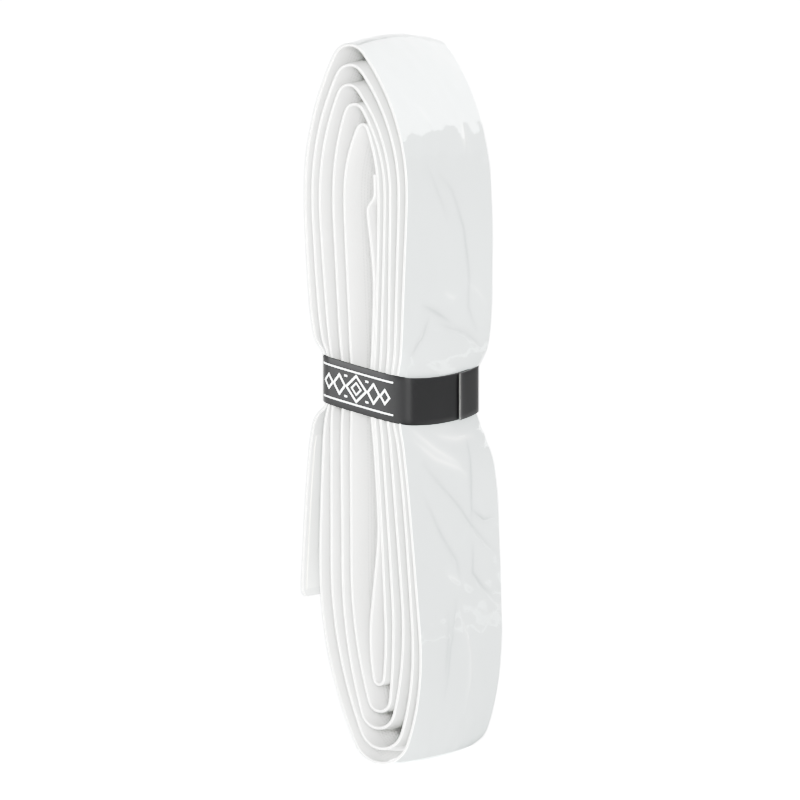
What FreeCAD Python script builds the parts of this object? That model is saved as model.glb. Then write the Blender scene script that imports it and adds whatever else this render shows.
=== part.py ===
"""A length of racket grip tape, folded into a flat upright spiral hank and held by a paper sleeve.

Millimetres, +Z along the hank. The cut edges of the tape face -Y and +Y, the film-covered outer face +X.
The tape is a laminate: a non-woven backing on the inner face, a cushioned skin, and a clear film on the
skin. The hank stays where it is; the sleeve slides off over the top, and the free end bends outwards.
"""

import FreeCAD, Part
import math
import os
from collections import namedtuple

# The laminate
TAPE_WIDTH = 25.0
BACKING_THICKNESS = 0.17
SKIN_THICKNESS = 0.22
FILM_THICKNESS = 0.05
TAPE_THICKNESS = BACKING_THICKNESS + SKIN_THICKNESS + FILM_THICKNESS
INNER_FACE = -TAPE_THICKNESS / 2
BACKING_FACE = INNER_FACE + BACKING_THICKNESS
SKIN_FACE = BACKING_FACE + SKIN_THICKNESS
OUTER_FACE = SKIN_FACE + FILM_THICKNESS
PRESSED_PITCH = TAPE_THICKNESS + 0.06

# Each run of tape, from one loop end to the other: x in the upper lobe, at the waist and in the lower lobe.
# A swell under 1 makes the run spring out sharply beside the sleeve instead of spreading evenly.
Run = namedtuple("Run", "upper waist lower swell")
LEFT_RUNS = [
    Run(-2.35, -1.25, -1.35, 1.0),
    Run(-4.45, -2.90, -2.80, 0.9),
    Run(-6.85, -4.80, -4.60, 0.8),
    Run(-8.20, -5.45, -6.65, 0.5),
    Run(-9.40, -5.95, -9.95, 0.33),
]
RIGHT_RUNS = [
    Run(3.50, 2.85, 4.92, 0.8),
    Run(4.55, 3.95, 6.15, 0.8),
    Run(5.65, 5.25, 7.75, 0.8),
    Run(7.10, 6.25, 9.50, 0.65),
    Run(8.45, 7.30, 10.85, 0.75),
]
RUN_STEPS = (0.08, 0.25, 0.55, 1.0)
BEND_REACH = 0.45
TINY = 1e-6

# The loop ends, each a half oval of four arcs: where its tip is, and the radius there.
LoopEnd = namedtuple("LoopEnd", "tip_x tip_z radius")
TOP_ENDS = [
    LoopEnd(0.8, 42.5, 0.9),
    LoopEnd(-0.7, 45.5, 1.7),
    LoopEnd(-1.7, 48.4, 2.0),
    LoopEnd(-1.4, 51.4, 2.6),
    LoopEnd(-1.5, 54.4, 3.0),
]
BOTTOM_ENDS = [
    LoopEnd(3.75, -42.0, 0.85),
    LoopEnd(3.7, -46.1, 1.9),
    LoopEnd(3.4, -48.7, 2.9),
    LoopEnd(4.0, -51.8, 3.8),
    LoopEnd(3.9, -54.0, 5.0),
]
TOP_SIDE_Z = 32.0
BOTTOM_LEFT_Z = (-35.0, -24.0, -24.0, -24.0, -24.0)
BOTTOM_RIGHT_Z = (-36.0, -34.0, -34.0, -37.0, -38.0)
LOBE_STRAIGHT = 2.5

# The innermost end, kinked where the winding fork gripped it, down to where it meets the next run.
INNER_TIP = [(2.78, 35.0), (2.85, 31.5), (1.5, 30.1), (1.75, 27.5), (2.25, 24.0)]
INNER_LOWER = [(2.95, -26.0), (2.27, -33.0)]
PRESSED_UPPER_SKIP = 2
PRESSED_LOWER_COUNT = 4

# The sleeve: a paper strip wrapped once round the waist, its plane tilted about Y
SLEEVE_HEIGHT = 7.2
SLEEVE_SLOPE = -0.208
SLEEVE_MIDDLE_Z = 2.76
PAPER_THICKNESS = 0.25
GLUE_THICKNESS = 0.05
SLEEVE_CLEARANCE = 0.15
SLEEVE_CORNER_RADIUS = 0.4
SEAM_Y = 3.6
UNDER_END_Y = 10.8
GLUE_MARGIN = 0.8
GLUE_HEIGHT = 5.4
WAIST_MARGIN = 0.4

# The free end, cut with rounded corners
FREE_END_Z = -29.6
FREE_END_CORNER = 1.0
CORNER_SEARCH_HEIGHT = 0.3
FREE_END_TOP_Z = 0.1
FREE_END_GAP = 0.2

# The starter tab on the free end's backing
TAB_WIDTH = 23.0
TAB_FIRST_PIECE = 3
TAB_END_MARGIN = 1.2
ADHESIVE_THICKNESS = 0.06
LINER_THICKNESS = 0.06

Line = namedtuple("Line", "start end")
Arc = namedtuple("Arc", "centre radius first last")


def polar(centre, radius, angle):
    return (centre[0] + radius * math.cos(angle), centre[1] + radius * math.sin(angle))


def rounded(points):
    """Straight runs through the points, joined by tangent arcs as large as the runs allow."""
    path = []
    here = points[0]
    for before, corner, after in zip(points, points[1:], points[2:]):
        came = math.atan2(corner[1] - before[1], corner[0] - before[0])
        goes = math.atan2(after[1] - corner[1], after[0] - corner[0])
        turn = (goes - came + math.pi) % (2 * math.pi) - math.pi
        if abs(turn) < TINY:
            continue
        reach = BEND_REACH * min(math.dist(before, corner), math.dist(corner, after))
        radius = reach / math.tan(abs(turn) / 2)
        side = math.copysign(math.pi / 2, turn)
        start = polar(corner, -reach, came)
        centre = polar(start, radius, came + side)
        path.append(Line(here, start))
        path.append(Arc(centre, radius, came - side, came - side + turn))
        here = polar(corner, reach, goes)
    path.append(Line(here, points[-1]))
    return path


def loop_end(entry, leave, end, heading):
    """A half oval run counter-clockwise: two wide side arcs and a tight one round the tip."""
    tip = (end.tip_x, end.tip_z)
    sign = math.cos(heading)
    tip_centre = (tip[0], tip[1] - sign * end.radius)
    sides = []
    for side, point in ((sign, entry), (-sign, leave)):
        half = abs(point[0] - tip[0])
        rise = abs(tip[1] - point[1])
        radius = (half**2 + rise**2 - 2 * rise * end.radius) / (2 * (half - end.radius))
        swept = math.atan2(rise - end.radius, radius - half)
        sides.append((radius, swept, (point[0] - side * radius, point[1])))
    (radius_in, swept_in, centre_in), (radius_out, swept_out, centre_out) = sides
    return [
        Arc(centre_in, radius_in, heading, heading + swept_in),
        Arc(tip_centre, end.radius, heading + swept_in, heading + math.pi - swept_out),
        Arc(centre_out, radius_out, heading + math.pi - swept_out, heading + math.pi),
    ]


def waist_edges(x):
    """The heights of the sleeve's top and bottom edges at x, with the margin the tape keeps to."""
    middle = SLEEVE_MIDDLE_Z + SLEEVE_SLOPE * x
    half = SLEEVE_HEIGHT / 2 + WAIST_MARGIN
    return middle + half, middle - half


def upper_points(run):
    """From the loop end down to the sleeve."""
    edge = waist_edges(run.waist)[0]
    lobe = TOP_SIDE_Z - LOBE_STRAIGHT
    points = [(run.upper, TOP_SIDE_Z)]
    for step in reversed(RUN_STEPS):
        x = run.waist + (run.upper - run.waist) * step**run.swell
        points.append((x, edge + step * (lobe - edge)))
    return points + [(run.waist, edge)]


def lower_points(run, side_z):
    """From the sleeve down to the loop end."""
    edge = waist_edges(run.waist)[1]
    lobe = side_z + LOBE_STRAIGHT
    points = [(run.waist, edge)]
    for step in RUN_STEPS:
        x = run.waist + (run.lower - run.waist) * step**run.swell
        points.append((x, edge + step * (lobe - edge)))
    return points + [(run.lower, side_z)]


def inner_points():
    """The innermost run: its kinked tip, then pressed against the first right run, then the teardrop."""
    above = upper_points(RIGHT_RUNS[0])[PRESSED_UPPER_SKIP:]
    below = lower_points(RIGHT_RUNS[0], BOTTOM_RIGHT_Z[0])[:PRESSED_LOWER_COUNT]
    pressed = [(x - PRESSED_PITCH, z) for x, z in above + below]
    return INNER_TIP + pressed + INNER_LOWER + [(INNER_LOWER[-1][0], BOTTOM_LEFT_Z[0])]


def hank_path():
    """The tape's middle line, from the inner tip outwards to the last run inside the sleeve."""
    down = inner_points()
    path = []
    for n, (left, right) in enumerate(zip(LEFT_RUNS, RIGHT_RUNS)):
        path += rounded(down)
        up = list(reversed(upper_points(right) + lower_points(right, BOTTOM_RIGHT_Z[n])))
        path += loop_end(down[-1], up[0], BOTTOM_ENDS[n], math.pi)
        path += rounded(up)
        path += loop_end(up[-1], (left.upper, TOP_SIDE_Z), TOP_ENDS[n], 0.0)
        down = upper_points(left)
        if n + 1 < len(LEFT_RUNS):
            down += lower_points(left, BOTTOM_LEFT_Z[n + 1])
    return path + rounded(down + [(left.waist, FREE_END_TOP_Z)])


def free_end_path():
    run = LEFT_RUNS[-1]
    below = [p for p in lower_points(run, FREE_END_Z) if p[1] < FREE_END_TOP_Z - 2 * FREE_END_GAP]
    return rounded([(run.waist, FREE_END_TOP_Z - FREE_END_GAP)] + below)


def tab_path(tail):
    """The stretch of the free end that the starter tab covers, ending short of the cut."""
    last = tail[-1]
    heading = math.atan2(last.end[1] - last.start[1], last.end[0] - last.start[0])
    return tail[TAB_FIRST_PIECE:-1] + [Line(last.start, polar(last.end, -TAB_END_MARGIN, heading))]


def ends_of(piece, offset):
    """Three points of a path piece moved outwards, to the right of its travel."""
    if isinstance(piece, Line):
        heading = math.atan2(piece.end[1] - piece.start[1], piece.end[0] - piece.start[0])
        start, end = (polar(p, offset, heading - math.pi / 2) for p in piece)
        return start, None, end
    radius = piece.radius + (offset if piece.last > piece.first else -offset)
    angles = (piece.first, (piece.first + piece.last) / 2, piece.last)
    return tuple(polar(piece.centre, radius, a) for a in angles)


def edges(path, offset, place):
    made = []
    for piece in path:
        start, middle, end = ends_of(piece, offset)
        if middle is None:
            made.append(Part.LineSegment(place(*start), place(*end)).toShape())
        else:
            made.append(Part.Arc(place(*start), place(*middle), place(*end)).toShape())
    return made


def strip(path, inner, outer, place, sweep):
    """A solid between two offsets of a path, swept along a direction."""
    near = edges(path, inner, place)
    far = edges(path, outer, place)
    caps = []
    for piece, end in ((path[0], 0), (path[-1], 2)):
        caps.append(
            Part.LineSegment(
                place(*ends_of(piece, inner)[end]), place(*ends_of(piece, outer)[end])
            ).toShape()
        )
    wire = Part.Wire(Part.__sortEdges__(near + far + caps))
    return Part.Face(wire).extrude(sweep)


def tape_layer(path, inner, outer, width=TAPE_WIDTH):
    def place(x, z):
        return FreeCAD.Vector(x, -width / 2, z)

    return strip(path, inner, outer, place, FreeCAD.Vector(0, width, 0))


def round_corners(solid):
    """Rounds the two corners of the free end, as the tape is cut."""
    corners = []
    for edge in solid.Edges:
        low = edge.BoundBox
        across = low.YLength < TINY and abs(abs(low.Center.y) - TAPE_WIDTH / 2) < TINY
        if across and low.ZMax < FREE_END_Z + CORNER_SEARCH_HEIGHT and low.XLength < TAPE_THICKNESS:
            corners.append(edge)
    return solid.makeFillet(FREE_END_CORNER, corners)


def sleeve_slab():
    """The space between the sleeve's two tilted edges."""
    reach = 4 * TAPE_WIDTH
    corners = []
    for x, half in ((-reach, 1), (reach, 1), (reach, -1), (-reach, -1), (-reach, 1)):
        z = SLEEVE_MIDDLE_Z + SLEEVE_SLOPE * x + half * SLEEVE_HEIGHT / 2
        corners.append(FreeCAD.Vector(x, -reach, z))
    return Part.Face(Part.makePolygon(corners)).extrude(FreeCAD.Vector(0, 2 * reach, 0))


def sleeve_walls():
    """The middle of the paper on the left, the right and the two cut-edge sides."""
    out = TAPE_THICKNESS / 2 + SLEEVE_CLEARANCE + PAPER_THICKNESS / 2
    left = LEFT_RUNS[-1].waist - out
    right = RIGHT_RUNS[-1].waist + out
    side = TAPE_WIDTH / 2 + SLEEVE_CLEARANCE + PAPER_THICKNESS / 2
    return left, right, side


def paper_sleeve():
    left, right, side = sleeve_walls()
    over = right + PAPER_THICKNESS + GLUE_THICKNESS
    corners = [(over, side), (left, side), (left, -side), (right, -side)]
    path = []
    reach = SLEEVE_CORNER_RADIUS + PAPER_THICKNESS / 2
    here = (over, SEAM_Y)
    for n, corner in enumerate(corners):
        heading = math.pi / 2 * (n + 1)
        start = polar(corner, -reach, heading)
        centre = polar(start, reach, heading + math.pi / 2)
        path.append(Line(here, start))
        path.append(Arc(centre, reach, heading - math.pi / 2, heading))
        here = polar(corner, reach, heading + math.pi / 2)
    path.append(Line(here, (right, UNDER_END_Y)))
    low = SLEEVE_MIDDLE_Z - 2 * SLEEVE_HEIGHT

    def place(x, y):
        return FreeCAD.Vector(x, y, low)

    upwards = FreeCAD.Vector(0, 0, 4 * SLEEVE_HEIGHT)
    tube = strip(path, -PAPER_THICKNESS / 2, PAPER_THICKNESS / 2, place, upwards)
    return tube.common(sleeve_slab())


def sleeve_glue():
    """The glue line between the sleeve's two overlapping ends."""
    right = sleeve_walls()[1] + PAPER_THICKNESS / 2
    low = SLEEVE_MIDDLE_Z + SLEEVE_SLOPE * right - GLUE_HEIGHT / 2
    length = UNDER_END_Y - SEAM_Y - 2 * GLUE_MARGIN
    corner = FreeCAD.Vector(right, SEAM_Y + GLUE_MARGIN, low)
    return Part.makeBox(GLUE_THICKNESS, length, GLUE_HEIGHT, corner)


def build():
    hank = hank_path()
    tail = free_end_path()
    tab = tab_path(tail)
    adhesive_face = INNER_FACE - ADHESIVE_THICKNESS
    liner_face = adhesive_face - LINER_THICKNESS
    return {
        "tape_backing": tape_layer(hank, INNER_FACE, BACKING_FACE),
        "tape_skin": tape_layer(hank, BACKING_FACE, SKIN_FACE),
        "tape_film": tape_layer(hank, SKIN_FACE, OUTER_FACE),
        "free_end_backing": round_corners(tape_layer(tail, INNER_FACE, BACKING_FACE)),
        "free_end_skin": round_corners(tape_layer(tail, BACKING_FACE, SKIN_FACE)),
        "free_end_film": round_corners(tape_layer(tail, SKIN_FACE, OUTER_FACE)),
        "starter_adhesive": tape_layer(tab, adhesive_face, INNER_FACE, TAB_WIDTH),
        "starter_liner": tape_layer(tab, liner_face, adhesive_face, TAB_WIDTH),
        "paper_sleeve": paper_sleeve(),
        "sleeve_glue": sleeve_glue(),
    }


def main():
    shapes = build()
    box = Part.makeCompound(list(shapes.values())).BoundBox
    home = -box.Center
    os.makedirs("parts", exist_ok=True)
    for name, shape in shapes.items():
        shape.translate(home)
        shape.exportStep(f"parts/{name}.step")
        print(name, "valid" if shape.isValid() else "INVALID", round(shape.Volume, 2), len(shape.Faces))
    hinge_x = LEFT_RUNS[-1].waist - TAPE_THICKNESS / 2
    hinge = FreeCAD.Vector(hinge_x, 0, FREE_END_TOP_Z - FREE_END_GAP / 2) + home
    print("size", round(box.XLength, 3), round(box.YLength, 3), round(box.ZLength, 3))
    print("free end hinge", [round(c, 3) for c in hinge], "moved by", [round(c, 3) for c in home])
    print("tape length", round(shapes["tape_skin"].Volume / SKIN_THICKNESS / TAPE_WIDTH, 1))


main()
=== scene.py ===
"""The looks of a folded racket grip tape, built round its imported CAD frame.

The tape is rebuilt along the frame's own path as three bonded layers: a dotted non-woven backing,
a cushioned skin and a crinkled clear film. Its free end carries the starter strip, and a printed
paper sleeve holds the waist.
Lengths are in millimetres until a mesh is made, and heights and places come from the frame.
"""

import math

import bpy
import numpy as np
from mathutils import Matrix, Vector


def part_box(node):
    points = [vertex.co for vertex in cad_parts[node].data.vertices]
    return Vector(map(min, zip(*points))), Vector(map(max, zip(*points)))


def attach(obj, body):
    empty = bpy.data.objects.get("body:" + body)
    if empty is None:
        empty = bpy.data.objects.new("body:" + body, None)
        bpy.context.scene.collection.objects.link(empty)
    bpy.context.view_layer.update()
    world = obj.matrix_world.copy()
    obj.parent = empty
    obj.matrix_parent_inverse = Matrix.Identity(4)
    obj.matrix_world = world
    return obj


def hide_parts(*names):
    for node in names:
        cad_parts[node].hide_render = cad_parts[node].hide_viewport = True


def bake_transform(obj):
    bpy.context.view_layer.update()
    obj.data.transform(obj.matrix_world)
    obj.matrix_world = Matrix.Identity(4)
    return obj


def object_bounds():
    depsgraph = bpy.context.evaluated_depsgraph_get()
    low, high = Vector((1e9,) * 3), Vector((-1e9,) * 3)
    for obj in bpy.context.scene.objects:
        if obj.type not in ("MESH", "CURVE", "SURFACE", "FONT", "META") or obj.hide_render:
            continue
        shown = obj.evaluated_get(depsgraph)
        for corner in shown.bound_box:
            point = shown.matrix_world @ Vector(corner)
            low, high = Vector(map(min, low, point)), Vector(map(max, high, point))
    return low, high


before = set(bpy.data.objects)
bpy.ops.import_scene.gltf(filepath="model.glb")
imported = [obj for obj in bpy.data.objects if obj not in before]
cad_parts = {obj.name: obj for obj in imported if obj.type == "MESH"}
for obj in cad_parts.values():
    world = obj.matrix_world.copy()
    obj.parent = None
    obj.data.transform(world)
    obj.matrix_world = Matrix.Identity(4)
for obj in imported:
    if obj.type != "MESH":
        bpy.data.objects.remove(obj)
cad_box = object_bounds()

MM = 0.001

# The laminate, as offsets outwards from the middle of the tape
INNER_FACE, BACKING_FACE, SKIN_FACE, FILM_FACE = -0.22, -0.05, 0.17, 0.21
EDGE_ROUNDING, ROUNDED_SHARE = 0.07, 0.3
EDGE_DRIFT = 0.16
BOND_GAP = 0.002
STARTER_LAYER, STARTER_INSET = 0.06, 1.2
STARTER_GAPS = (0.003, 0.005)
FREE_END_CORNER = 1.0
CURVE_STEP = 0.1
LAYER_STEP, STARTER_STEP, BEND_STEP = 1.2, 0.8, 0.10
LAYER_COLUMNS, STARTER_COLUMNS = 14, 12
EDGE_STEPS, EDGE_MARGIN = (0.0, 0.01, 0.03, 0.07), 0.3
SPLIT_HEIGHT = 3.0
OUTER_TURN_LENGTH = 238.0

# White things
SKIN_COLOUR = (0.88, 0.885, 0.87)
BACKING_COLOUR = (0.81, 0.81, 0.80)
# The cut sides are darkened with painted shade, against the strong light they catch.
CUT_SHADE_COLOUR = (0.42, 0.423, 0.413)
DOT_COLOUR = (0.68, 0.685, 0.675)
# The outer turn and free end take the darker tint, partly the film's own haze and partly painted shade;
# the inner turns take the lighter one.
FILM_TINT_AND_SHADE, LIGHTER_TINT = (0.82, 0.843, 0.848), (0.99, 0.993, 0.993)
DOTS_APART, DOT_ROWS_APART, DOTTED_HALF_WIDTH = 0.5, 0.9, 8.3
DOT_RADII = (0.20, 0.11)
FILM_ROUGHNESS = 0.08
FILM_GLOSS = (0.09, 0.9)

# How the tape is cupped where the sleeve grips its edges
CUP_OUTWARDS = 0.6
CUP_CENTRE_X = 0.5
CUP_REACH_X = 6.6
CUP_MIDDLE_Z = 2.5
CUP_HEIGHT = 9.0
EDGE_PINCH = 0.6
FAR_DROP = 0.2
DOME_TOP, DOME_BOTTOM = 1.05, 1.3
HALF_HEIGHT = 54.4

# The slow wander of the tape's edges from one turn to the next, as (share, length per radian, phase),
# and how much of it the sleeve holds back
WANDER = ((1.0, 17.0, 0.0), (0.4, 7.3, 1.0))
WANDER_HELD = 0.95
HELD_HEIGHT = 3.5
HELD_FROM_Y, HELD_OVER = 10.0, 2.5
DOME_FROM = 0.6

# How fast the sleeve's pinch and the far edges' straying grow away from the hank's middle
PINCH_GROWTH, STRAY_GROWTH = 1.5, 1.4
FAR_POWER, FAR_LIMIT = 1.5, 1.1

# How far the far edges of the right-hand runs stray from their near edges, by height
FAR_STRAY = (
    (-54, -0.5), (-40, -0.5), (-26, 0.3), (-15, 0.85), (-9.5, 0.7), (-5.5, -0.6), (-3, -1.3),
    (1.5, -1.35), (4, -0.5), (6, 0.5), (9, 0.9), (14, 1.05), (24, 0.7), (31, 0.2), (38, -0.15), (54, 0),
)

# The sleeve
PAPER_CORNER = 2.1
PAPER_STANDOFF = 0.25
FACE_CROWN = 0.35
SEAM_SAG, SAG_OVER = 0.5, 1.5

# How far the paper's outer end stands up at the seam, and over what length
SEAM_LIFT, SEAM_CURL = 0.18, 0.9

# How far the glue keeps from the paper's ends, and how deep in its gap its inner face lies, from 0 to 1
GLUE_INSET, GLUE_FILL = 0.8, 0.98
PAPER_STEP = 0.25

# Where the outer paper starts and stops coming down to the layer below, past the overlap
LAP_ENDS = (0.5, 3.0)

# Rows of points up the paper from its middle, as (share of half its height, thinning of each side)
PAPER_ROWS = ((0, 0), (0.25, 0), (0.5, 0), (0.75, 0), (0.96, 0), (0.985, 0.02), (1, 0.05))
FACE_DEPTH = 1.5
INK, INK_STEP = 0.02, 0.2

# The film's waves, as (seed, number of waves, shortest, longest), and how much of each there is
SWELL, WAVE_SHARE, RIPPLE_SHARE = 0.05, 0.6, 0.4
WAVES, RIPPLES = (3, 12, 7.0, 16.0), (8, 14, 2.5, 6.0)
INNER_SHARE, OUTER_OVER = 0.15, 10.0
PRESSED_HEIGHT, PRESSED_SHARE = 3.6, 0.9

# The film's creases on the outer right run, as (height, breadth, tone, line of (y, z)).
# A crease with tone 1 carries a painted highlight and one with tone -1 a painted shade on the skin below
# it.
CREASES = (
    (0.13, 0.45, 1.0, ((6.2, 41.5), (5.8, 38.0))),
    (0.10, 0.30, 0.6, ((-7.5, 49.5), (-6.0, 45.0), (-3.5, 42.0))),
    (0.08, 0.30, -0.8, ((-3.0, 34.5), (0.5, 32.0), (4.0, 26.0), (5.8, 19.0), (5.5, 14.0), (8.0, 10.5))),
    (0.07, 0.30, -0.5, ((-6.5, 36.0), (-2.5, 30.0), (-1.0, 27.5))),
    (0.10, 0.30, -0.9, ((-7.0, 15.0), (-3.0, 13.6), (0.5, 12.0))),
    (0.13, 0.35, -0.6, ((-3.0, 12.0), (5.0, 10.0), (10.0, 7.5))),
    (0.11, 0.30, -0.9, ((-5.5, 13.0), (-7.5, 10.0), (-10.5, 7.5))),
    (0.11, 0.35, 0.4, ((5.0, 18.0), (8.0, 16.5), (10.5, 14.5))),
    (0.10, 0.30, 0.8, ((-1.0, 16.5), (1.5, 15.6), (2.5, 15.9))),
    (0.15, 0.45, 1.0, ((-10.0, -3.5), (-4.0, -7.0), (2.0, -9.5))),
    (0.13, 0.35, 1.0, ((-9.5, -5.5), (-4.0, -8.5), (2.5, -10.5), (4.0, -11.5))),
    (0.11, 0.40, 1.0, ((-3.0, -5.0), (2.5, -6.0), (8.5, -6.0))),
    (0.10, 0.30, -0.9, ((6.0, -6.5), (5.0, -14.0), (4.5, -18.5))),
    (0.13, 0.35, -0.7, ((-8.0, -9.0), (1.0, -16.0), (4.0, -19.0), (8.5, -22.5), (11.0, -24.0))),
    (0.11, 0.35, -0.7, ((-8.0, -14.5), (-4.5, -20.0), (-0.5, -24.5), (0.0, -27.0))),
    (0.10, 0.30, -0.9, ((4.5, -22.5), (4.0, -26.5), (7.0, -29.0), (10.0, -30.5))),
    (0.10, 0.30, -0.9, ((5.0, -17.0), (8.0, -18.7), (10.5, -18.5))),
    (0.10, 0.30, 0.9, ((-3.5, -26.0), (-1.0, -27.0), (0.0, -27.6))),
    (0.11, 0.35, -0.6, ((-1.0, -30.0), (-4.0, -37.0), (-5.0, -44.0))),
    (0.10, 0.30, -0.6, ((-4.0, -32.5), (-5.0, -37.5), (-5.5, -41.0))),
    (0.11, 0.35, 0.5, ((-0.5, -31.5), (2.5, -38.5), (3.0, -42.0), (2.5, -47.0))),
)
# How much darker the painted shade along a crease makes the film's see-through tint
CREASE_SHADE = 0.78
CREASE_REACH = 14.0
CREASED_FROM_X, CREASED_OVER = 5.0, 1.5

# How much light shows as pure white, and how bright some lesser amounts show
WHITE_LEVEL = 1.4
SHOULDER = ((0.05, 0.05), (0.15, 0.16), (0.35, 0.52), (0.60, 0.71), (0.85, 0.81), (1.1, 0.90))

# The stage, in metres and degrees. Each light is a name, azimuth, elevation, distance, width, height
# and radiance, and the kind of ray that doesn't see it.
SOFTBOXES = (
    ("key", -35, 12, 0.9, 0.7, 0.6, 3.4, "diffuse"),
    ("side", 108, 12, 0.8, 0.45, 0.6, 1.1, "diffuse"),
    ("front", 30, 8, 1.4, 0.4, 0.35, 44.0, "glossy"),
    ("back_panel", 150, 38, 0.8, 1.0, 0.7, 3.2, "diffuse"),
    ("rear", 203, 14, 0.8, 0.45, 0.62, 1.8, "diffuse"),
    ("key_edge", 3, 12, 0.9, 0.5, 0.6, 1.5, "diffuse"),
)
WORLD_BRIGHTNESS = 0.5
FLOOR_WIDTH, FLOOR_GAP, FLOOR_GREY, FLOOR_GLOW = 30, 0.0001, 0.93, 0.95
FLAG_BRIGHTNESS = 0.15
FLAG_SIZE, FLAG_AZIMUTH, FLAG_DISTANCE, FLAG_RISE = (0.22, 0.116), 152, 0.26, 0.008
LOW_FLAG_SIZE, LOW_FLAG_PLACE, LOW_FLAG_GAP = (0.25, 0.28), (0.131, 0.06), 0.0005

# The camera, in metres and degrees, round the point that the middle of the view shows
AZIMUTH, ELEVATION = 30.5, 5.0
CAMERA_DISTANCE = 1.073
AIM = Vector((0.00691, -0.0125, 0.00107))
VIEW_WIDTH = 0.12016
SENSOR = 36.0


# ---------------------------------------------------------------- the frame

def box_mm(node):
    """The low and high corners of a node's box."""
    low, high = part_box(node)
    return np.array(low) / MM, np.array(high) / MM


def outline(node):
    """The closed outline of a swept node's near side, as points (x, z) to a thousandth of a mm."""
    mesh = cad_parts[node].data
    places = np.array([v.co for v in mesh.vertices]) / MM
    near = places[:, 1] < places[:, 1].min() + 0.001
    keys = [tuple(key) for key in np.round(places[:, [0, 2]] * 1000).astype(int).tolist()]
    count = {}
    for face in mesh.polygons:
        corners = list(face.vertices)
        if all(near[c] for c in corners):
            for a, b in zip(corners, corners[1:] + corners[:1]):
                side = frozenset((keys[a], keys[b]))
                count[side] = count.get(side, 0) + 1
    beside = {}
    for side, times in count.items():
        if times == 1 and len(side) == 2:
            a, b = side
            beside.setdefault(a, []).append(b)
            beside.setdefault(b, []).append(a)
    start = min(beside)
    ring = [start, beside[start][0]]
    while True:
        a, b = beside[ring[-1]]
        after = b if a == ring[-2] else a
        if after == start:
            return np.array(ring) / 1000.0
        ring.append(after)


def inner_line(node):
    """The inner face of a layer as a line of points, from its upper end."""
    ring = outline(node)
    came = ring - np.roll(ring, 1, axis=0)
    goes = np.roll(ring, -1, axis=0) - ring
    turn = np.abs(np.angle((goes @ [1, 1j]) / (came @ [1, 1j])))
    corners = sorted(np.argsort(turn)[-4:])
    sides = []
    for a, b in zip(corners, corners[1:] + [corners[0] + len(ring)]):
        sides.append(ring[np.arange(a, b + 1) % len(ring)])
    sides = sorted(sides, key=len)[-2:]
    lines = [s if s[0, 1] > s[-1, 1] else s[::-1] for s in sides]
    way = lines[0][1] - lines[0][0]
    across = lines[1][0] - lines[0][0]
    return lines[0] if across @ [way[1], -way[0]] > 0 else lines[1]


def smoothed(rows, reach, ends):
    """Rows of values averaged with their neighbours on both sides, whose ends are "edge" or "wrap"."""
    window = np.hanning(2 * reach + 3)[1:-1]
    padded = np.pad(rows, ((reach, reach), (0, 0)), ends)
    return np.stack([np.convolve(column, window / window.sum(), "valid") for column in padded.T], axis=1)


def smooth_curve(points):
    """Evenly spaced points on a smooth curve through the points, with their unit normals, outwards."""
    legs = np.diff(points, axis=0)
    lengths = np.hypot(*legs.T)
    units = legs / lengths[:, None]
    blended = units[:-1] * lengths[1:, None] + units[1:] * lengths[:-1, None]
    tangents = np.vstack([units[:1], blended, units[-1:]])
    tangents /= np.hypot(*tangents.T)[:, None]
    fine = []
    for n, length in enumerate(lengths):
        t = np.linspace(0, 1, max(2, int(2 * length / CURVE_STEP)), endpoint=False)[:, None]
        fine.append(
            (1 + 2 * t) * (1 - t) ** 2 * points[n]
            + t * (1 - t) ** 2 * length * tangents[n]
            + t * t * (3 - 2 * t) * points[n + 1]
            + t * t * (t - 1) * length * tangents[n + 1]
        )
    fine = np.vstack(fine + [points[-1:]])
    travelled = np.concatenate([[0], np.cumsum(np.hypot(*np.diff(fine, axis=0).T))])
    along = np.arange(0, travelled[-1], CURVE_STEP)
    places = np.stack([np.interp(along, travelled, fine[:, k]) for k in (0, 1)], axis=1)
    way = smoothed(np.gradient(places, axis=0), 4, "edge")
    way /= np.hypot(*way.T)[:, None]
    return along, places, np.stack([way[:, 1], -way[:, 0]], axis=1)


def whole_tape():
    """The tape's middle line from its inner tip to its free end."""
    main = inner_line("tape_skin")
    tail = inner_line("free_end_skin")
    way = (tail[-1] - tail[-2]) / np.hypot(*(tail[-1] - tail[-2]))
    missing = (box_mm("free_end_skin")[0][2] - tail[-1][1]) / way[1]
    tail = np.vstack([tail, tail[-1] + way * missing])
    along, places, outwards = smooth_curve(np.vstack([main, tail]))
    return along, places - outwards * BACKING_FACE, outwards


ALONG, MIDDLE, OUTWARDS = whole_tape()
HALF_WIDTH = box_mm("tape_skin")[1][1]
LENGTH = ALONG[-1]
SPLIT = ALONG[np.nonzero(MIDDLE[:, 1] > SPLIT_HEIGHT)[0][-1]]
OUTER_TURN = SPLIT - OUTER_TURN_LENGTH


def stations(first, last, spacing, turn):
    """Places along the tape, closer together where it bends and where spacing(s) is small."""
    inside = (ALONG >= first) & (ALONG <= last)
    s = ALONG[inside]
    bend = np.hypot(*np.gradient(OUTWARDS[inside], s, axis=0).T)
    density = smoothed(np.maximum(1 / spacing(s), bend / turn)[:, None], 10, "edge")[:, 0]
    total = np.concatenate([[0], np.cumsum((density[1:] + density[:-1]) / 2 * np.diff(s))])
    return np.interp(np.linspace(0, total[-1], int(total[-1]) + 2), total, s)


# ---------------------------------------------------------------- shapes along the tape

def far_share(y):
    """From 0 at the tape's near edge to 1 at its far edge."""
    return np.clip((y / HALF_WIDTH + 1) / 2, 0, FAR_LIMIT) ** FAR_POWER


def stray(z):
    """FAR_STRAY at a height, smoothed over a few millimetres."""
    heights, strays = zip(*FAR_STRAY)
    return sum(np.interp(z + shift, heights, strays) for shift in (-1.5, -0.75, 0, 0.75, 1.5)) / 5


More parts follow.
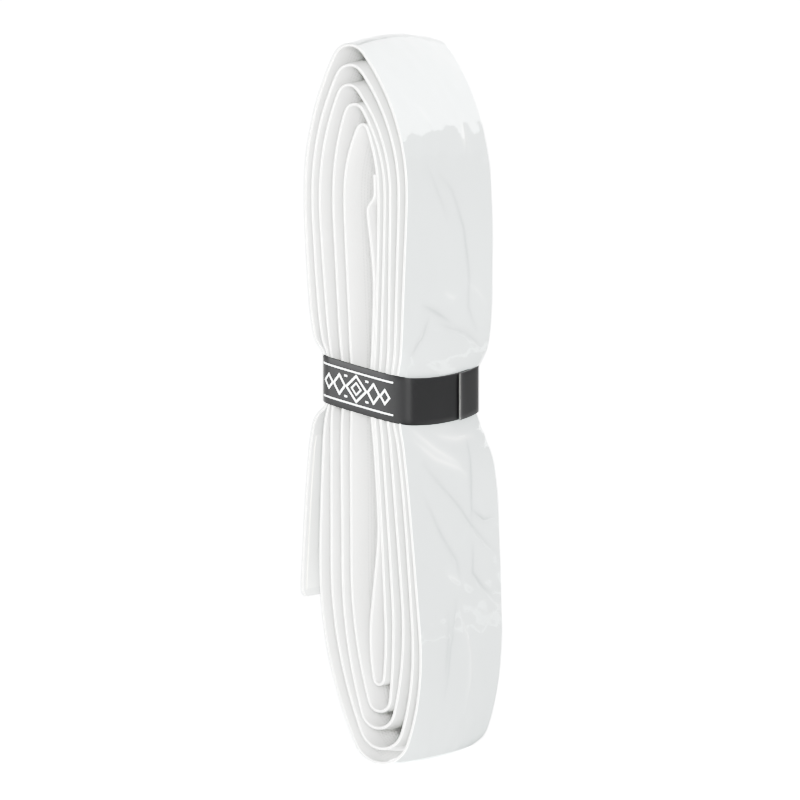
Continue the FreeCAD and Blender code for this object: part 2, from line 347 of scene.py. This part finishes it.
def cup(x, y, z):
    """How far the tape is pushed sideways at a place, where the sleeve holds its edges in."""
    side = (x - CUP_CENTRE_X) / CUP_REACH_X
    rise = np.exp(-(((z - CUP_MIDDLE_Z) / CUP_HEIGHT) ** 2))
    bulge = CUP_OUTWARDS * side * rise * (1 - (y / HALF_WIDTH) ** 2)
    edge = np.clip((np.abs(y) - HELD_FROM_Y) / HELD_OVER, 0, 1) ** 2
    held = np.exp(-(((z - CUP_MIDDLE_Z) / HELD_HEIGHT) ** 2)) * edge
    right = np.clip(side * STRAY_GROWTH, 0, 1)
    pinch = EDGE_PINCH * np.clip(side * PINCH_GROWTH, -1, 1) * held
    return bulge - pinch + stray(z) * far_share(y) * right


def place(s, y, offset):
    """Points in space for arrays of distance along, distance across and offset outwards."""
    x, z = (np.interp(s, ALONG, MIDDLE[:, k]) for k in (0, 1))
    out_x, out_z = (np.interp(s, ALONG, OUTWARDS[:, k]) for k in (0, 1))
    x = x + out_x * offset
    z = z + out_z * offset
    drift = EDGE_DRIFT * sum(share * np.sin(s / length + phase) for share, length, phase in WANDER)
    free = 1 - WANDER_HELD * np.exp(-(((z - CUP_MIDDLE_Z) / CUP_HEIGHT) ** 2))
    end = np.clip((np.abs(z) / HALF_HEIGHT - DOME_FROM) / (1 - DOME_FROM), 0, 1) ** 2
    crown = 1 - (y / HALF_WIDTH) ** 2
    rise = np.where(z > 0, DOME_TOP * crown, -DOME_BOTTOM * crown - FAR_DROP * far_share(y)) * end
    return np.stack([x + cup(x, y, z), y + drift * free, z + rise], axis=-1)


def half_width(s):
    """Half the tape's width, which the rounded corners of the free end narrow."""
    left = np.clip(LENGTH - s, 0, FREE_END_CORNER)
    return HALF_WIDTH - FREE_END_CORNER + np.sqrt(FREE_END_CORNER**2 - (FREE_END_CORNER - left) ** 2)


def columns(count):
    """Places across the tape from -1 to 1, closer together at its rounded edges."""
    edge = 1 - np.array(EDGE_STEPS) / HALF_WIDTH
    reach = 1 - EDGE_MARGIN / HALF_WIDTH
    middle = np.linspace(-reach, reach, count)
    return np.concatenate([-edge, middle, edge[::-1]])


def grid_faces(rows, across, first=0, flip=False):
    """Quads of a grid of points, facing outwards from the tape."""
    i, j = np.meshgrid(np.arange(rows - 1), np.arange(across - 1), indexing="ij")
    a = first + i * across + j
    quads = np.stack([a, a + 1, a + across + 1, a + across], axis=-1).reshape(-1, 4)
    return quads[:, ::-1] if flip else quads


def strip_between(a, b, flip):
    """Quads that join two rows of point numbers."""
    quads = np.stack([a[:-1], b[:-1], b[1:], a[1:]], axis=-1)
    return quads[:, ::-1] if flip else quads


def kinds_of(groups, kinds):
    """The material number of every face, for groups of faces that have one each."""
    return np.concatenate([np.full(len(group), kind) for group, kind in zip(groups, kinds)])


def add_piece(name, points, faces, materials, kinds=None, tape=None, sharp=40.0):
    """A mesh object, smooth except where it bends by more than the sharp angle."""
    mesh = bpy.data.meshes.new(name)
    mesh.from_pydata((np.asarray(points) * MM).tolist(), [], [list(map(int, f)) for f in faces])
    for material in materials:
        mesh.materials.append(material)
    if kinds is not None:
        mesh.polygons.foreach_set("material_index", np.asarray(kinds, np.int32))
    if tape is not None:
        layer = mesh.attributes.new("tape", "FLOAT_VECTOR", "POINT")
        layer.data.foreach_set("vector", np.asarray(tape, np.float32).ravel())
    mesh.shade_smooth()
    mesh.set_sharp_from_angle(angle=math.radians(sharp))
    piece = bpy.data.objects.new(name, mesh)
    bpy.context.scene.collection.objects.link(piece)
    return piece


def closed_layer(name, s, low, high, count, materials, width=None):
    """A solid layer of the tape between two offsets, with the last of its materials on the cut sides."""
    across = columns(count)
    half = half_width(s) if width is None else np.full(len(s), width / 2)
    y = half[:, None] * across
    inset = np.clip(half[:, None] - np.abs(y), 0, EDGE_ROUNDING)
    rounding = EDGE_ROUNDING - np.sqrt(EDGE_ROUNDING**2 - (EDGE_ROUNDING - inset) ** 2)
    rounding = np.minimum(rounding, (high - low) * ROUNDED_SHARE)
    along = np.repeat(s[:, None], len(across), axis=1)
    inner = place(along, y, low + rounding)
    outer = place(along, y, high - rounding)
    rows, wide = along.shape
    total = rows * wide
    number = np.arange(total).reshape(rows, wide)
    faces = [
        grid_faces(rows, wide, 0, flip=True),
        grid_faces(rows, wide, total),
        strip_between(number[:, 0], number[:, 0] + total, flip=False),
        strip_between(number[:, -1], number[:, -1] + total, flip=True),
        strip_between(number[0], number[0] + total, flip=True),
        strip_between(number[-1], number[-1] + total, flip=False),
    ]
    points = np.vstack([inner.reshape(-1, 3), outer.reshape(-1, 3)])
    tape = np.stack([along.ravel(), y.ravel(), np.zeros(total)], axis=1)
    kinds = kinds_of(faces, [0, 0] + [len(materials) - 1] * 4)
    return add_piece(name, points, np.vstack(faces), materials, kinds, np.vstack([tape, tape]))


# ---------------------------------------------------------------- the film's crinkles

def swells(s, y, seed, count, shortest, longest):
    """Gentle waves in all directions, from -1 to 1 or so."""
    draw = np.random.default_rng(seed)
    total = np.zeros_like(s)
    for _ in range(count):
        length = draw.uniform(shortest, longest)
        angle = draw.uniform(0, math.pi)
        phase = draw.uniform(0, 2 * math.pi)
        total += np.sin((s * math.cos(angle) + y * math.sin(angle)) * 2 * math.pi / length + phase)
    return total / math.sqrt(count)


def distance_to(line, y, z):
    """How far each place is from a line of points (y, z), and how far along the line it is nearest."""
    best = np.full(y.shape, 1e9)
    share = np.zeros(y.shape)
    legs = [math.dist(a, b) for a, b in zip(line, line[1:])]
    before = 0.0
    for (ay, az), (by, bz), leg in zip(line, line[1:], legs):
        t = np.clip(((y - ay) * (by - ay) + (z - az) * (bz - az)) / leg**2, 0, 1)
        away = np.hypot(y - ay - t * (by - ay), z - az - t * (bz - az))
        nearer = away < best
        best = np.where(nearer, away, best)
        share = np.where(nearer, (before + t * leg) / sum(legs), share)
        before += leg
    return best, share


def creases(x, y, z):
    """The ridges that folding has left in the film on the outer right run, and the painted highlights
    and shades along them.
    """
    right = np.clip((x - CREASED_FROM_X) / CREASED_OVER, 0, 1)
    rise, tint = np.zeros(y.shape), np.zeros(y.shape)
    for height, breadth, tone, line in CREASES:
        near = (np.abs(z - np.mean([p[1] for p in line])) < CREASE_REACH) & (right > 0)
        away, share = distance_to(line, y[near], z[near])
        taper = np.sin(np.pi * np.clip(share, 0.04, 0.96)) ** 0.5
        rise[near] += height * np.exp(-away / breadth) * taper
        # The tint is painted light: a painted highlight where the tone is above 0, painted shade where
        # it is below.
        tint[near] += tone * np.exp(-away / breadth) * taper
    return rise * right, np.clip(tint * right, -1, 1)


def film_relief(s, y):
    """How far the film stands off the skin beyond its even lie, and the painted highlight or shade along
    its creases.
    """
    x, z = (np.interp(s, ALONG, MIDDLE[:, k]) for k in (0, 1))
    free = 1 - PRESSED_SHARE * np.exp(-(((z - CUP_MIDDLE_Z) / PRESSED_HEIGHT) ** 4))
    outer = np.clip((s - OUTER_TURN) / OUTER_OVER, 0, 1)
    relief = SWELL * (1 + WAVE_SHARE * swells(s, y, *WAVES))
    relief += RIPPLE_SHARE * SWELL * swells(s, y, *RIPPLES)
    relief = np.clip(relief, 0, None) * (INNER_SHARE + (1 - INNER_SHARE) * outer)
    rise, tint = creases(x, y, z)
    return (relief + rise * outer) * free, tint * outer


def film_layer(name, s, count, material):
    """The film as one open surface, with the painted highlights and shades of its creases kept beside
    the places on the tape.
    """
    across = np.linspace(-1, 1, count)
    y = half_width(s)[:, None] * across
    along = np.repeat(s[:, None], count, axis=1)
    relief, tint = film_relief(along, y)
    points = place(along, y, FILM_FACE + relief)
    tape = np.stack([along.ravel(), y.ravel(), tint.ravel()], axis=1)
    faces = grid_faces(len(s), count)
    return add_piece(name, points.reshape(-1, 3), faces, [material], tape=tape, sharp=180.0)


# ---------------------------------------------------------------- materials

class Surface:
    """A material with one Principled shader, and short ways to add nodes and link them."""

    def __init__(self, name, colour, roughness):
        self.material = bpy.data.materials.new(name)
        self.material.use_nodes = True
        self.tree = self.material.node_tree
        self.shader = self.tree.nodes["Principled BSDF"]
        self.shader.inputs["Base Color"].default_value = (*colour, 1)
        self.shader.inputs["Roughness"].default_value = roughness

    def node(self, kind, settings=None, **sockets):
        """A new node. Its sockets take numbers, colours or the outputs of other nodes."""
        made = self.tree.nodes.new(kind)
        for key, value in (settings or {}).items():
            setattr(made, key, value)
        for key, value in sockets.items():
            self.set(made.inputs[key.replace("_", " ")], value)
        return made

    def set(self, socket, value):
        """Links a socket to another node's output, or gives it a value of its own."""
        if isinstance(value, bpy.types.NodeSocket):
            self.tree.links.new(value, socket)
        else:
            socket.default_value = value

    def maths(self, operation, *values):
        """The output of a maths node."""
        made = self.node("ShaderNodeMath", {"operation": operation})
        for socket, value in zip(made.inputs, values):
            self.set(socket, value)
        return made.outputs[0]

    def noise(self, scale, detail):
        """Random relief, with scale in waves per metre."""
        where = self.node("ShaderNodeTexCoord").outputs["Object"]
        return self.node("ShaderNodeTexNoise", Vector=where, Scale=scale, Detail=detail).outputs["Fac"]

    def bump(self, shader, height, strength, depth):
        """Gives a shader a relief whose depth is in metres."""
        relief = self.node("ShaderNodeBump", Strength=strength, Distance=depth, Height=height)
        self.set(shader.inputs["Normal"], relief.outputs["Normal"])

    def tape_parts(self):
        """The outputs for distance along the tape, distance across it and crease tone."""
        held = self.node("ShaderNodeAttribute", {"attribute_name": "tape"})
        return self.node("ShaderNodeSeparateXYZ", Vector=held.outputs["Vector"]).outputs


def grained(name, colour, roughness, scale, strength, depth):
    """A plain surface with a fine random relief."""
    surface = Surface(name, colour, roughness)
    surface.bump(surface.shader, surface.noise(scale, 4.0), strength, depth)
    return surface.material


def skin_material():
    return grained("cushioned_skin", SKIN_COLOUR, 0.45, 2600, 0.35, 0.00008)


def cut_material():
    # Painted shade: the cut sides are darkened against the strong light that falls on them.
    return grained("cut_edge_painted_shade", CUT_SHADE_COLOUR, 0.8, 3200, 0.4, 0.00006)


def backing_material():
    """Non-woven fabric, with rows of fine thermal bond points between its two plain margins."""
    surface = Surface("nonwoven_backing", BACKING_COLOUR, 0.85)
    maths = surface.maths
    parts = surface.tape_parts()
    across = maths("DIVIDE", parts["Y"], DOT_ROWS_APART)
    row = maths("FLOOR", across)
    along = maths("MULTIPLY_ADD", row, 0.5, maths("DIVIDE", parts["X"], DOTS_APART))
    u = maths("MULTIPLY", maths("SUBTRACT", maths("FRACT", along), 0.5), DOTS_APART)
    v = maths("MULTIPLY", maths("SUBTRACT", maths("FRACT", across), 0.5), DOT_ROWS_APART)
    away = maths("SQRT", maths("ADD", maths("MULTIPLY", u, u), maths("MULTIPLY", v, v)))
    dot = surface.node("ShaderNodeMapRange", {"interpolation_type": "SMOOTHSTEP"}, Value=away)
    dot.inputs["From Min"].default_value, dot.inputs["From Max"].default_value = DOT_RADII
    inside = maths("LESS_THAN", maths("ABSOLUTE", parts["Y"]), DOTTED_HALF_WIDTH)
    dots = maths("MULTIPLY", dot.outputs["Result"], inside)
    height = maths("MULTIPLY_ADD", dots, -0.8, surface.noise(2200, 5.0))
    surface.bump(surface.shader, height, 0.5, 0.00008)
    colour = surface.node("ShaderNodeMix", {"data_type": "RGBA"}, Factor=dots)
    colour.inputs["A"].default_value = (*BACKING_COLOUR, 1)
    colour.inputs["B"].default_value = (*DOT_COLOUR, 1)
    surface.set(surface.shader.inputs["Base Color"], colour.outputs["Result"])
    return surface.material


def film_material(name, tint):
    """Clear film: mostly see-through, as glossy from either side, with painted highlights and shades
    along its creases.
    """
    surface = Surface(name, tint, FILM_ROUGHNESS)
    tree = surface.tree
    tree.nodes.remove(surface.shader)
    # The see-through colour is darkened by painted shade below 0.5 and whitened by painted highlight
    # above it.
    ramp = surface.node("ShaderNodeValToRGB")
    stops = ramp.color_ramp.elements
    stops[0].color = (*(c * CREASE_SHADE for c in tint), 1)
    stops[1].color = (1, 1, 1, 1)
    stops.new(0.5).color = (*tint, 1)
    surface.set(ramp.inputs["Fac"], surface.maths("MULTIPLY_ADD", surface.tape_parts()["Z"], 0.5, 0.5))
    clear = surface.node("ShaderNodeBsdfTransparent", Color=ramp.outputs["Color"])
    gloss = surface.node("ShaderNodeBsdfAnisotropic", Roughness=FILM_ROUGHNESS)
    surface.bump(gloss, surface.noise(900, 2.0), 0.25, 0.00006)
    facing = surface.node("ShaderNodeLayerWeight", Blend=0.5).outputs["Facing"]
    least, growth = FILM_GLOSS
    share = surface.maths("MULTIPLY_ADD", surface.maths("POWER", facing, 5), growth, least)
    mix = surface.node("ShaderNodeMixShader", Fac=share)
    surface.set(mix.inputs[1], clear.outputs["BSDF"])
    surface.set(mix.inputs[2], gloss.outputs["BSDF"])
    surface.set(tree.nodes["Material Output"].inputs["Surface"], mix.outputs["Shader"])
    return surface.material


def liner_material():
    return grained("release_paper", (0.88, 0.88, 0.86), 0.35, 700, 0.2, 0.00005)


def adhesive_material():
    return grained("adhesive", (0.86, 0.84, 0.76), 0.25, 1500, 0.2, 0.00003)


def printed_material():
    printed = grained("printed_paper", (0.008, 0.0084, 0.0092), 0.32, 1800, 0.12, 0.00003)
    printed.node_tree.nodes["Principled BSDF"].inputs["Specular IOR Level"].default_value = 0.55
    return printed


def paper_material(name, brightness):
    return grained(name, (brightness, brightness, brightness * 0.98), 0.8, 2500, 0.4, 0.00004)


def ink_material():
    return grained("white_ink", (0.80, 0.82, 0.82), 0.5, 2500, 0.2, 0.00002)


# ---------------------------------------------------------------- the sleeve

sleeve_low, sleeve_high = box_mm("paper_sleeve")
glue_low, glue_high = box_mm("sleeve_glue")
PAPER = sleeve_high[0] - glue_high[0]
GLUE = glue_high[0] - glue_low[0]
LEFT_WALL = sleeve_low[0] + PAPER / 2
RIGHT_WALL = glue_low[0] - PAPER / 2
SIDE_WALL = sleeve_high[1] - PAPER / 2
SEAM_Y = glue_low[1] - GLUE_INSET
HIDDEN_END_Y = glue_high[1] + GLUE_INSET
LAP = HIDDEN_END_Y - SEAM_Y


def sleeve_tilt():
    """The height of the sleeve's middle at x = 0, its slope along x, and how tall it is."""
    places = np.array([v.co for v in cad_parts["paper_sleeve"].data.vertices]) / MM
    left = places[places[:, 0] < sleeve_low[0] + 0.01, 2]
    right = places[places[:, 0] > sleeve_high[0] - 0.01, 2]
    slope = (right.max() - left.max()) / (sleeve_high[0] - sleeve_low[0])
    middle = (left.max() + left.min()) / 2 - slope * sleeve_low[0]
    return middle, slope, left.max() - left.min()


SLEEVE_Z, SLEEVE_SLOPE, SLEEVE_HEIGHT = sleeve_tilt()


def sleeve_ring():
    """The paper's middle line once round the hank from the seam, as points (x, y), and its normals."""
    left, right = LEFT_WALL - PAPER_STANDOFF, RIGHT_WALL + PAPER_STANDOFF
    side = SIDE_WALL + PAPER_STANDOFF
    corner = PAPER_CORNER
    points = [(right, SEAM_Y)]
    quarter = np.linspace(0, math.pi / 2, 9)
    for n, (x, y) in enumerate(((right, side), (left, side), (left, -side), (right, -side))):
        cx, cy = x - math.copysign(corner, x), y - math.copysign(corner, y)
        for angle in quarter + n * math.pi / 2:
            points.append((cx + corner * math.cos(angle), cy + corner * math.sin(angle)))
    points.append((right, SEAM_Y))
    points = np.array(points)
    legs = np.hypot(*np.diff(points, axis=0).T)
    travelled = np.concatenate([[0], np.cumsum(legs)])
    s = np.arange(0, travelled[-1], PAPER_STEP)
    ring = np.stack([np.interp(s, travelled, points[:, k]) for k in (0, 1)], axis=1)
    middle, half = (left + right) / 2, (right - left) / 2
    outward = np.sign(ring[:, 0] - middle)
    wide = np.clip(np.abs(ring[:, 0] - middle) / half, 0, 1) ** 4
    ring[:, 0] += CUP_OUTWARDS * outward * wide * (1 - (ring[:, 1] / side) ** 2)
    far = np.clip((ring[:, 1] / side + 1) / 2, 0, 1) ** FAR_POWER
    ring[:, 0] += stray(0.0) * far * np.clip((ring[:, 0] - middle) / half, 0, 1)
    deep = np.clip(np.abs(ring[:, 1]) / side, 0, 1) ** 4
    ring[:, 1] += np.sign(ring[:, 1]) * FACE_CROWN * deep * (1 - ((ring[:, 0] - middle) / half) ** 2)
    ring = smoothed(ring, 7, "wrap")
    way = np.roll(ring, -1, axis=0) - np.roll(ring, 1, axis=0)
    way /= np.hypot(*way.T)[:, None]
    return ring, np.stack([way[:, 1], -way[:, 0]], axis=1)


def sleeve_wrap():
    """The paper strip's middle line from the outer end at the seam, once round, to its hidden end."""
    ring, normals = sleeve_ring()
    order = np.arange(len(ring) + int(LAP / PAPER_STEP)) % len(ring)
    turned = np.arange(len(order)) * PAPER_STEP
    starts, stops = LAP_ENDS
    over = 1 - np.clip((turned - LAP - starts) / (stops - starts), 0, 1)
    over = over * over * (3 - 2 * over)
    lift = (PAPER + GLUE) * over + SEAM_LIFT * np.exp(-turned / SEAM_CURL)
    line = ring[order] + normals[order] * lift[:, None]
    return line, normals[order], turned


def sleeve_heights(line):
    """The height of the strip's middle along it: a tilted plane, with a sag on the right face."""
    x, y = line[:, 0], line[:, 1]
    on_right = np.clip((x - RIGHT_WALL + SAG_OVER) / SAG_OVER, 0, 1)
    sag = SEAM_SAG * on_right * (1 - (y / SIDE_WALL) ** 2)
    return SLEEVE_Z + SLEEVE_SLOPE * x - sag


def build_sleeve(printed, inside, end):
    """The paper strip, printed outside, plain inside and with painted shade on its two bare ends."""
    line, normals, _ = sleeve_wrap()
    heights = sleeve_heights(line)
    rows = np.array(PAPER_ROWS)
    levels, rim = np.vstack([rows[:0:-1] * [-1, 1], rows]).T
    points, total = [], len(line) * len(levels)
    for side in (-1, 1):
        offset = side * (PAPER / 2 - rim)
        grid = np.empty((len(line), len(levels), 3))
        grid[:, :, :2] = line[:, None, :] + normals[:, None, :] * offset[None, :, None]
        grid[:, :, 2] = heights[:, None] + levels[None, :] * SLEEVE_HEIGHT / 2
        points.append(grid.reshape(-1, 3))
    number = np.arange(total).reshape(len(line), len(levels))
    faces = [
        grid_faces(len(line), len(levels), 0),
        grid_faces(len(line), len(levels), total, flip=True),
        strip_between(number[:, 0], number[:, 0] + total, flip=True),
        strip_between(number[:, -1], number[:, -1] + total, flip=False),
        strip_between(number[0], number[0] + total, flip=False),
        strip_between(number[-1], number[-1] + total, flip=True),
    ]
    kinds = kinds_of(faces, (1, 0, 0, 0, 2, 2))
    return add_piece("sleeve_wrap", np.vstack(points), np.vstack(faces), (printed, inside, end), kinds)


def build_glue(material):
    """The line of glue between the strip's two ends."""
    line, normals, turned = sleeve_wrap()
    heights = sleeve_heights(line)
    low, high = SEAM_Y + GLUE_INSET, HIDDEN_END_Y - GLUE_INSET
    covered = (line[:, 1] > low) & (line[:, 1] < high) & (turned < LAP)
    row, out, z = line[covered], normals[covered], heights[covered]
    half = (glue_high[2] - glue_low[2]) / 2
    points = []
    for depth in (GLUE_FILL, 1 - GLUE_FILL):
        for level in (-half, half):
            points.append(np.column_stack([row - out * (PAPER / 2 + GLUE * depth), z + level]))
    count = len(row)
    number = np.arange(4 * count).reshape(4, count)
    outer_low, outer_high, inner_low, inner_high = number
    faces = [
        strip_between(outer_low, outer_high, flip=False),
        strip_between(inner_low, inner_high, flip=True),
        strip_between(outer_high, inner_high, flip=False),
        strip_between(outer_low, inner_low, flip=True),
        [[outer_low[0], inner_low[0], inner_high[0], outer_high[0]]],
        [[outer_low[-1], outer_high[-1], inner_high[-1], inner_low[-1]]],
    ]
    return add_piece("sleeve_glue_line", np.vstack(points), np.vstack(faces), [material])


def lozenge(x, wide, tall):
    """The closed outline of a lozenge, by its half width and half height."""
    return [(x - wide, 0), (x, tall), (x + wide, 0), (x, -tall), (x - wide, 0)]


def print_lines():
    """The near face's pattern: line widths, and corners (x, height above the sleeve's middle)."""
    middle = -0.15
    lines = [
        (0.22, [(-6.3, 2.45), (6.0, 2.45)]),
        (0.22, [(-6.3, -2.45), (6.0, -2.45)]),
        (0.28, lozenge(middle, 1.75, 1.95)),
        (0.22, lozenge(middle, 0.8, 0.9)),
    ]
    for side in (-1, 1):
        lines.append((0.28, lozenge(middle + side * 3.0, 1.0, 1.45)))
        lines.append((0.25, lozenge(middle + side * 4.9, 0.72, 1.05)))
        for height in (1.55, -1.55):
            lines.append((0.28, [(middle + side * 1.6, height), (middle + side * 2.1, height)]))
    return lines


def mitred_edges(width, corners):
    """The left and right edge points of a line of even width at each of its corners."""
    closed = corners[0] == corners[-1]
    count = len(corners) - 1 if closed else len(corners)
    edges = []
    for n in range(count):
        here = Vector(corners[n])
        before = here - Vector(corners[n - 1 if n else count - 1]) if closed or n > 0 else None
        after = Vector(corners[(n + 1) % count]) - here if closed or n < count - 1 else None
        before = (before or after).normalized()
        after = (after or before).normalized()
        side_before, side_after = Vector((-before.y, before.x)), Vector((-after.y, after.x))
        mitre = (side_before + side_after).normalized()
        mitre *= width / 2 / mitre.dot(side_after)
        edges.append((here + mitre, here - mitre))
    return edges + edges[:1] if closed else edges


def build_print(material):
    """Ribbons of ink that follow the near face."""
    line, normals, _ = sleeve_wrap()
    near = (line[:, 1] < -SIDE_WALL + FACE_DEPTH) & (np.abs(normals[:, 1]) > 0.5)
    order = np.argsort(line[near][:, 0])
    row, out = line[near][order], normals[near][order]

    def on_face(x, v):
        base = np.array([np.interp(x, row[:, 0], row[:, k]) for k in (0, 1)])
        way = np.array([np.interp(x, row[:, 0], out[:, k]) for k in (0, 1)])
        flat = base + way * (PAPER / 2 + INK)
        return (*flat, SLEEVE_Z + SLEEVE_SLOPE * x + v)

    points, faces = [], []
    for width, corners in print_lines():
        edges = mitred_edges(width, corners)
        for (left_a, right_a), (left_b, right_b) in zip(edges, edges[1:]):
            steps = max(2, int((left_b - left_a).length / INK_STEP))
            first = len(points)
            for t in np.linspace(0, 1, steps + 1):
                points.append(on_face(*left_a.lerp(left_b, t)))
                points.append(on_face(*right_a.lerp(right_b, t)))
            for n in range(steps):
                c = first + 2 * n
                faces.append((c, c + 1, c + 3, c + 2))
    return add_piece("sleeve_print", points, faces, [material])


# ---------------------------------------------------------------- stage, lights and camera

def flat_card(name, width, height, material):
    """A level rectangle round the origin."""
    points = [(x * width / 2, y * height / 2, 0) for x, y in ((-1, -1), (1, -1), (1, 1), (-1, 1))]
    mesh = bpy.data.meshes.new(name)
    mesh.from_pydata(points, [], [(0, 1, 2, 3)])
    mesh.materials.append(material)
    card = bpy.data.objects.new(name, mesh)
    bpy.context.scene.collection.objects.link(card)
    return card


def around(azimuth, elevation, distance):
    """A place by its angles from the object, where azimuth 0 is in front and 90 on the right."""
    a, e = math.radians(azimuth), math.radians(elevation)
    return Vector((math.sin(a) * math.cos(e), -math.cos(a) * math.cos(e), math.sin(e))) * distance


def facing(thing, target=(0, 0, 0)):
    """Turns a lamp or card so that its -Z side looks at the target."""
    way = Vector(target) - thing.location
    thing.rotation_mode = "QUATERNION"
    thing.rotation_quaternion = way.to_track_quat("-Z", "Y")


def softbox(name, azimuth, elevation, distance, width, height, radiance, unseen_by):
    """An area light that faces the object, and that one kind of ray doesn't see: diffuse or glossy."""
    lamp = bpy.data.lights.new(name, "AREA")
    lamp.shape = "RECTANGLE"
    lamp.size, lamp.size_y = width, height
    lamp.energy = radiance * math.pi * width * height
    holder = bpy.data.objects.new(name, lamp)
    holder.location = around(azimuth, elevation, distance)
    facing(holder)
    holder.visible_camera = False
    setattr(holder, f"visible_{unseen_by}", False)
    bpy.context.scene.collection.objects.link(holder)


def dark_card(name, width, height):
    """A grey card that only reflections see, as a studio flag."""
    material = bpy.data.materials.new(name)
    material.use_nodes = True
    nodes = material.node_tree.nodes
    nodes.remove(nodes["Principled BSDF"])
    glow = nodes.new("ShaderNodeEmission")
    glow.inputs["Color"].default_value = (*(FLAG_BRIGHTNESS,) * 3, 1)
    material.node_tree.links.new(glow.outputs[0], nodes["Material Output"].inputs["Surface"])
    card = flat_card(name, width, height, material)
    card.visible_camera = False
    card.visible_diffuse = False
    card.visible_shadow = False
    card.visible_transmission = False
    return card


def soften_highlights():
    """A photographic shoulder, so that white things in strong light keep their shapes."""
    settings = bpy.context.scene.view_settings
    settings.view_transform = "Standard"
    settings.use_curve_mapping = True
    mapping = settings.curve_mapping
    mapping.white_level = (WHITE_LEVEL,) * 3
    shape = mapping.curves[3]
    for light, shown in SHOULDER:
        shape.points.new(light / WHITE_LEVEL, shown)
    mapping.update()


def build_stage():
    paint = Surface("floor", (FLOOR_GREY,) * 3, 0.9)
    paint.shader.inputs["Specular IOR Level"].default_value = 0.0
    paint.shader.inputs["Emission Color"].default_value = (1, 1, 1, 1)
    paint.shader.inputs["Emission Strength"].default_value = FLOOR_GLOW
    floor = flat_card("floor", FLOOR_WIDTH, FLOOR_WIDTH, paint.material)
    floor.location.z = cad_box[0][2] - FLOOR_GAP
    world = bpy.data.worlds.new("studio")
    bpy.context.scene.world = world
    world.use_nodes = True
    world.node_tree.nodes["Background"].inputs["Color"].default_value = (1, 1, 1, 1)
    world.node_tree.nodes["Background"].inputs["Strength"].default_value = WORLD_BRIGHTNESS
    for light in SOFTBOXES:
        softbox(*light)
    flag = dark_card("flag", *FLAG_SIZE)
    flag.location = around(FLAG_AZIMUTH, 0, FLAG_DISTANCE)
    facing(flag)
    flag.location.z = FLAG_RISE
    low_flag = dark_card("low_flag", *LOW_FLAG_SIZE)
    low_flag.location = (*LOW_FLAG_PLACE, floor.location.z + LOW_FLAG_GAP)
    soften_highlights()


def build_camera():
    data = bpy.data.cameras.new("camera")
    data.sensor_width = SENSOR
    data.lens = SENSOR * CAMERA_DISTANCE / VIEW_WIDTH
    data.clip_start, data.clip_end = 0.01, 100
    camera = bpy.data.objects.new("camera", data)
    camera.location = AIM + around(AZIMUTH, ELEVATION, CAMERA_DISTANCE)
    facing(camera, AIM)
    bpy.context.scene.collection.objects.link(camera)
    bpy.context.scene.camera = camera


# ---------------------------------------------------------------- the whole object

def even(spacing):
    """One spacing all along the tape."""
    return lambda s: np.full(len(s), spacing)


def film_spacing(s):
    """Fine on the outer right run, coarser on the outer left one and coarsest inside."""
    x = np.interp(s, ALONG, MIDDLE[:, 0])
    return np.where(s < OUTER_TURN, 1.5, np.where(x > 1.0, 0.22, 0.6))


def settle(piece, node, moving):
    """Hides the node that a piece of tape replaces, and bakes its place into its mesh if it moves, or
    hangs it on the hank if not.
    """
    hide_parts(node)
    if moving:
        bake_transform(piece)
    else:
        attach(piece, "hank")


def build_laminate(part, first, last):
    """The backing and the skin of one stretch of tape."""
    s = stations(first, last, even(LAYER_STEP), BEND_STEP)
    cut = cut_material()
    for layer, material, low, high in (
        ("backing", backing_material(), INNER_FACE, BACKING_FACE - BOND_GAP),
        ("skin", skin_material(), BACKING_FACE, SKIN_FACE),
    ):
        piece = closed_layer(f"{part}_{layer}_layer", s, low, high, LAYER_COLUMNS, (material, cut))
        settle(piece, f"{part}_{layer}", part == "free_end")


def build_film():
    """The film in three pieces, with its finest mesh on the outermost turn."""
    # The outer turn and the free end get the darker tint, which is partly painted shade.
    clear, pressed = film_material("clear_film_painted_shade", FILM_TINT_AND_SHADE), film_material("pressed_film", LIGHTER_TINT)
    for name, part, first, last, count, material in (
        ("tape_film_inner", "tape", 0.0, OUTER_TURN, 60, pressed),
        ("tape_film_outer", "tape", OUTER_TURN, SPLIT, 116, clear),
        ("free_end_film_layer", "free_end", SPLIT, LENGTH, 60, clear),
    ):
        piece = film_layer(name, stations(first, last, film_spacing, 0.12), count, material)
        settle(piece, f"{part}_film", part == "free_end")


def build_starter(adhesive):
    """The starter strip's adhesive and liner, on the inner face of the free end."""
    below_tape, below_adhesive = STARTER_GAPS
    for name, slot, material, lower in (
        ("starter_adhesive", "adhesive", adhesive, 0.0),
        ("starter_liner", "liner", liner_material(), STARTER_LAYER + below_adhesive),
    ):
        low, high = box_mm(name)
        near = (ALONG > SPLIT) & (MIDDLE[:, 1] < high[2])
        s = stations(ALONG[near][0], LENGTH - STARTER_INSET, even(STARTER_STEP), BEND_STEP)
        top = INNER_FACE - lower - below_tape
        width = high[1] - low[1]
        piece = closed_layer(
            f"{name}_strip", s, top - STARTER_LAYER, top, STARTER_COLUMNS, (material,), width
        )
        settle(piece, name, True)


def build_paper(adhesive):
    """The sleeve, its glue and its print."""
    # The paper's ends are darkened with painted shade, to dim the bright line the light makes on them at
    # the seam.
    inside, end = paper_material("paper_inside", 0.8), paper_material("paper_end_painted_shade", 0.16)
    sleeve = build_sleeve(printed_material(), inside, end)
    glue = build_glue(adhesive)
    ink = build_print(ink_material())
    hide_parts("paper_sleeve")
    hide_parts("sleeve_glue")
    for piece, slot in ((sleeve, "sleeve_paper"), (ink, "sleeve_paper"), (glue, "glue")):
        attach(piece, "sleeve")


def main():
    build_camera()
    build_stage()
    build_laminate("tape", 0.0, SPLIT)
    build_laminate("free_end", SPLIT, LENGTH)
    build_film()
    adhesive = adhesive_material()
    build_starter(adhesive)
    build_paper(adhesive)


main()
